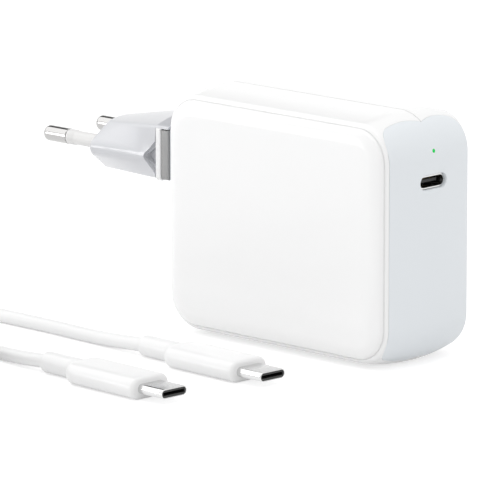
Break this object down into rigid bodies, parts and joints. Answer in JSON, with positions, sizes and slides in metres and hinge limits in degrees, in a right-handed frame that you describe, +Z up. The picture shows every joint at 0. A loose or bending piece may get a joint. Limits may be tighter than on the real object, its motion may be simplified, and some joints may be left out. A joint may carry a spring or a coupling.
{
  "type": "laptop power adapter",
  "caption": "White two-shell USB-C wall adapter with grey end panels, a slide-on round-pin mains plug head and a coiled USB-C cable.",
  "frame": {"origin": "middle of the flat foot that the housing stands on", "axes": "+X from the mains plug to the USB-C port, +Y towards the rear shell, +Z up"},
  "size_m": [0.1465, 0.162, 0.0615],
  "materials": {
    "housing_white": "polished white polycarbonate",
    "panel_grey": "fine satin texture",
    "plug_grey": "smooth grey polycarbonate",
    "base_plate_white": "smooth",
    "neck_grey": "satin",
    "pin_chrome": "bright nickel plate",
    "bare_metal": "smooth nickel-plated steel",
    "sleeve_white": "satin",
    "black_resin": "moulded",
    "gold_plate": "gold plated",
    "green_lens": "translucent",
    "led_white": "clear",
    "board_green": "solder mask",
    "amber_film": "film",
    "sheet_aluminium": "mill finish",
    "ferrite": "sintered",
    "winding_tape": "taped",
    "copper_wire": "enamelled copper",
    "capacitor_sleeve": "shrink sleeve",
    "disc_blue": "epoxy coat",
    "fuse_brown": "moulded",
    "cable_plug_white": "smooth",
    "cable_white": "smooth TPE jacket"
  },
  "bodies": {
    "housing": {"front_shell": "housing_white", "rear_shell": "housing_white", "port_end_panel": "panel_grey", "plug_end_panel": "panel_grey", "dock_stud": "bare_metal", "live_inlet_prong": "bare_metal", "neutral_inlet_prong": "bare_metal", "port_shell": "bare_metal", "port_tongue": "black_resin", "port_contacts": "gold_plate", "light_pipe": "green_lens", "led_chip": "led_white", "main_board": "board_green", "output_board": "board_green", "insulation_sheet": "amber_film", "heat_spreader": "sheet_aluminium", "transformer_core": "ferrite", "transformer_bobbin": "black_resin", "transformer_winding": "winding_tape", "choke_core": "ferrite", "choke_windings": "copper_wire", "x_capacitor": "winding_tape", "bulk_capacitor_1": "capacitor_sleeve", "bulk_capacitor_2": "capacitor_sleeve", "y_capacitor": "disc_blue", "bridge_rectifier": "black_resin", "mains_fuse": "fuse_brown", "switching_transistor": "black_resin", "transistor_heat_sink": "sheet_aluminium", "controller_chip": "black_resin", "output_capacitors": "sheet_aluminium", "connector_a_shell": "bare_metal", "connector_a_insert": "black_resin", "connector_a_overmold": "cable_plug_white", "connector_a_boot": "cable_plug_white", "connector_b_shell": "bare_metal", "connector_b_insert": "black_resin", "connector_b_overmold": "cable_plug_white", "connector_b_boot": "cable_plug_white", "cable_run_a": "cable_white", "cable_coil": "cable_white", "cable_run_b": "cable_white"},
    "plug_head": {"plug_body": "plug_grey", "plug_base_plate": "base_plate_white", "plug_neck": "neck_grey", "live_pin": "pin_chrome", "neutral_pin": "pin_chrome", "live_pin_sleeve": "sleeve_white", "neutral_pin_sleeve": "sleeve_white", "live_contact_spring": "gold_plate", "neutral_contact_spring": "gold_plate"}
  },
  "joints": [
    {"name": "plug_head_slide", "type": "slide", "parent": "housing", "child": "plug_head", "axis": [0, 0, 1], "range_m": [0, 0.02]}
  ]
}
